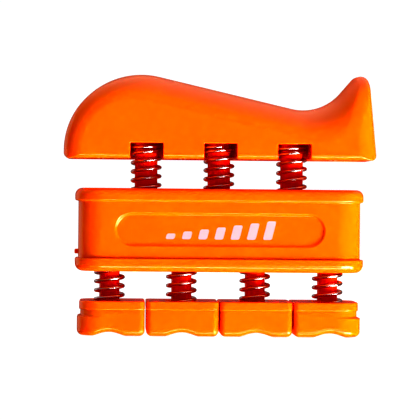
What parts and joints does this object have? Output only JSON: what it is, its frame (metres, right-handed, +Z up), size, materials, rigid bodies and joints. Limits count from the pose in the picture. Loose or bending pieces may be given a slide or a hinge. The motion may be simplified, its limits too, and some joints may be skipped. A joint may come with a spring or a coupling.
{
  "type": "finger exerciser",
  "caption": "Hand-held finger exerciser: a contoured palm rest and separate finger buttons, each sprung on posts against a long hollow body.",
  "frame": {"origin": "on the plane that the finger buttons stand on, below the middle of the object", "axes": "+X along the row of fingers towards the palm rest's horn, +Y from the front, with the spring windows, to the back, +Z up from the buttons to the palm rest"},
  "size_m": [0.08, 0.024, 0.0669],
  "materials": {
    "orange_plastic": "glossy moulded orange plastic",
    "spring_steel": "bright plated spring wire",
    "zinc_steel": "zinc-plated steel"
  },
  "bodies": {
    "body": {"body_shell": "orange_plastic", "body_cover": "orange_plastic", "palm_spring_left": "spring_steel", "palm_spring_centre": "spring_steel", "palm_spring_right": "spring_steel", "finger_spring_1": "spring_steel", "finger_spring_2": "spring_steel", "finger_spring_3": "spring_steel", "finger_spring_4": "spring_steel"},
    "palm": {"palm_rest": "orange_plastic", "palm_base": "orange_plastic", "palm_base_screw_1": "zinc_steel", "palm_base_screw_2": "zinc_steel", "palm_base_screw_3": "zinc_steel", "palm_base_screw_4": "zinc_steel", "palm_washer_left": "zinc_steel", "palm_washer_centre": "zinc_steel", "palm_washer_right": "zinc_steel", "palm_stop_screw_left": "zinc_steel", "palm_stop_screw_centre": "zinc_steel", "palm_stop_screw_right": "zinc_steel"},
    "finger_1": {"finger_pad_1": "orange_plastic", "finger_plunger_1": "orange_plastic", "finger_washer_1": "zinc_steel", "finger_stop_screw_1": "zinc_steel"},
    "finger_2": {"finger_pad_2": "orange_plastic", "finger_plunger_2": "orange_plastic", "finger_washer_2": "zinc_steel", "finger_stop_screw_2": "zinc_steel"},
    "finger_3": {"finger_pad_3": "orange_plastic", "finger_plunger_3": "orange_plastic", "finger_washer_3": "zinc_steel", "finger_stop_screw_3": "zinc_steel"},
    "finger_4": {"finger_pad_4": "orange_plastic", "finger_plunger_4": "orange_plastic", "finger_washer_4": "zinc_steel", "finger_stop_screw_4": "zinc_steel"}
  },
  "joints": [
    {"name": "palm_press", "type": "slide", "parent": "body", "child": "palm", "axis": [0, 0, -1], "range_m": [0, 0.0065], "stiffness_N_per_m": 11000, "springref_m": -0.0037, "deforming": ["palm_spring_left", "palm_spring_centre", "palm_spring_right"]},
    {"name": "finger_press_1", "type": "slide", "parent": "body", "child": "finger_1", "axis": [0, 0, 1], "range_m": [0, 0.0065], "stiffness_N_per_m": 3700, "springref_m": -0.0037, "deforming": ["finger_spring_1"]},
    {"name": "finger_press_2", "type": "slide", "parent": "body", "child": "finger_2", "axis": [0, 0, 1], "range_m": [0, 0.0065], "stiffness_N_per_m": 3700, "springref_m": -0.0037, "deforming": ["finger_spring_2"]},
    {"name": "finger_press_3", "type": "slide", "parent": "body", "child": "finger_3", "axis": [0, 0, 1], "range_m": [0, 0.0065], "stiffness_N_per_m": 3700, "springref_m": -0.0037, "deforming": ["finger_spring_3"]},
    {"name": "finger_press_4", "type": "slide", "parent": "body", "child": "finger_4", "axis": [0, 0, 1], "range_m": [0, 0.0065], "stiffness_N_per_m": 3700, "springref_m": -0.0037, "deforming": ["finger_spring_4"]}
  ]
}
